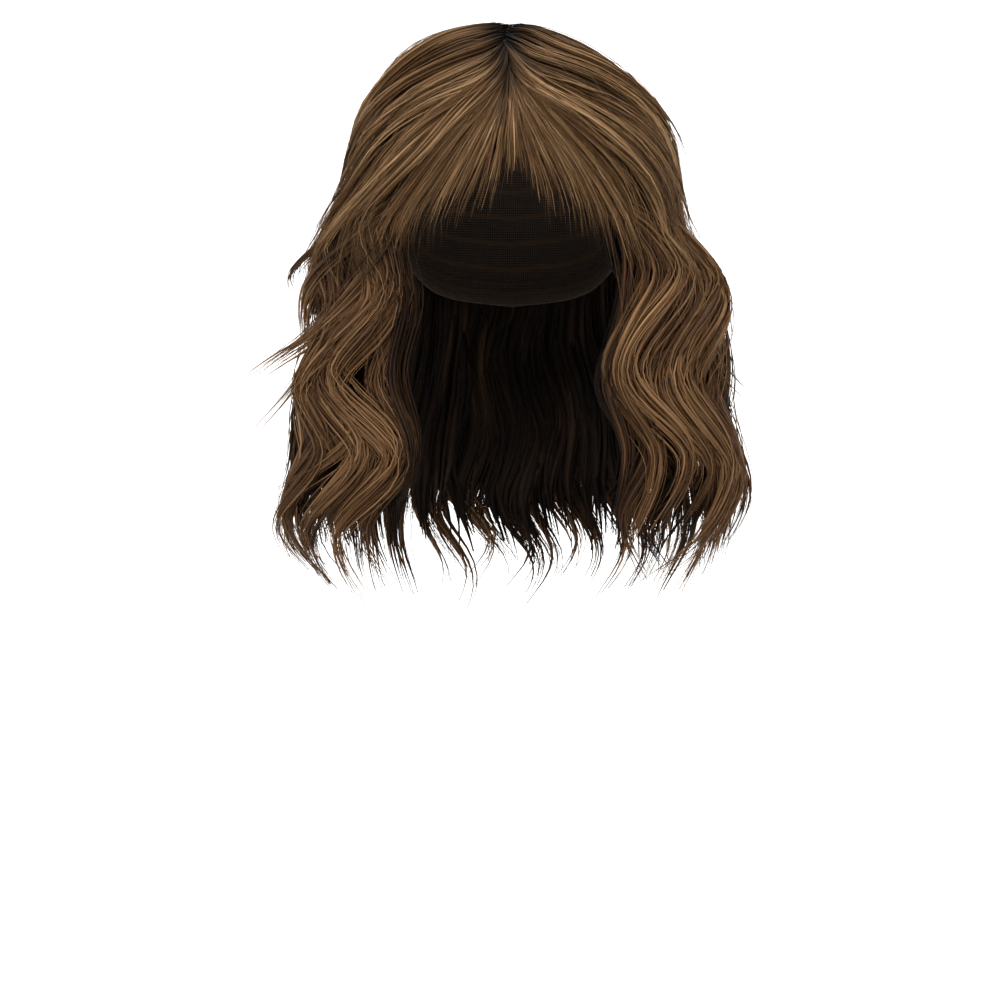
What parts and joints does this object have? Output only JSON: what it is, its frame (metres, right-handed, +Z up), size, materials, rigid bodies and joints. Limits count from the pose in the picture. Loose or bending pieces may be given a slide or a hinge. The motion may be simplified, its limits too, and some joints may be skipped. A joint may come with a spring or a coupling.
{
  "type": "wavy wig",
  "caption": "Shoulder-length layered wig with loose waves, a centre parting and a curtain fringe on a thin fabric cap, open below for a head.",
  "frame": {"origin": "inside crown of the cap, where the top of a head touches it", "axes": "+Z up, the face opening looks along -Y, +X to the viewer's right as the viewer faces the opening"},
  "size_m": [0.3214, 0.2504, 0.3873],
  "materials": {
    "cap_fabric": "fine woven net, matt",
    "upper_hair": "ash-brown hair fibre with lighter streaks, satin",
    "under_hair": "warm brown hair fibre, satin"
  },
  "bodies": {
    "root": {"cap": "cap_fabric", "crown_hair_left": "upper_hair", "crown_hair_right": "upper_hair", "fringe_left": "upper_hair", "fringe_right": "upper_hair", "side_locks_left": "under_hair", "side_locks_right": "under_hair", "back_hair": "under_hair"}
  },
  "joints": []
}
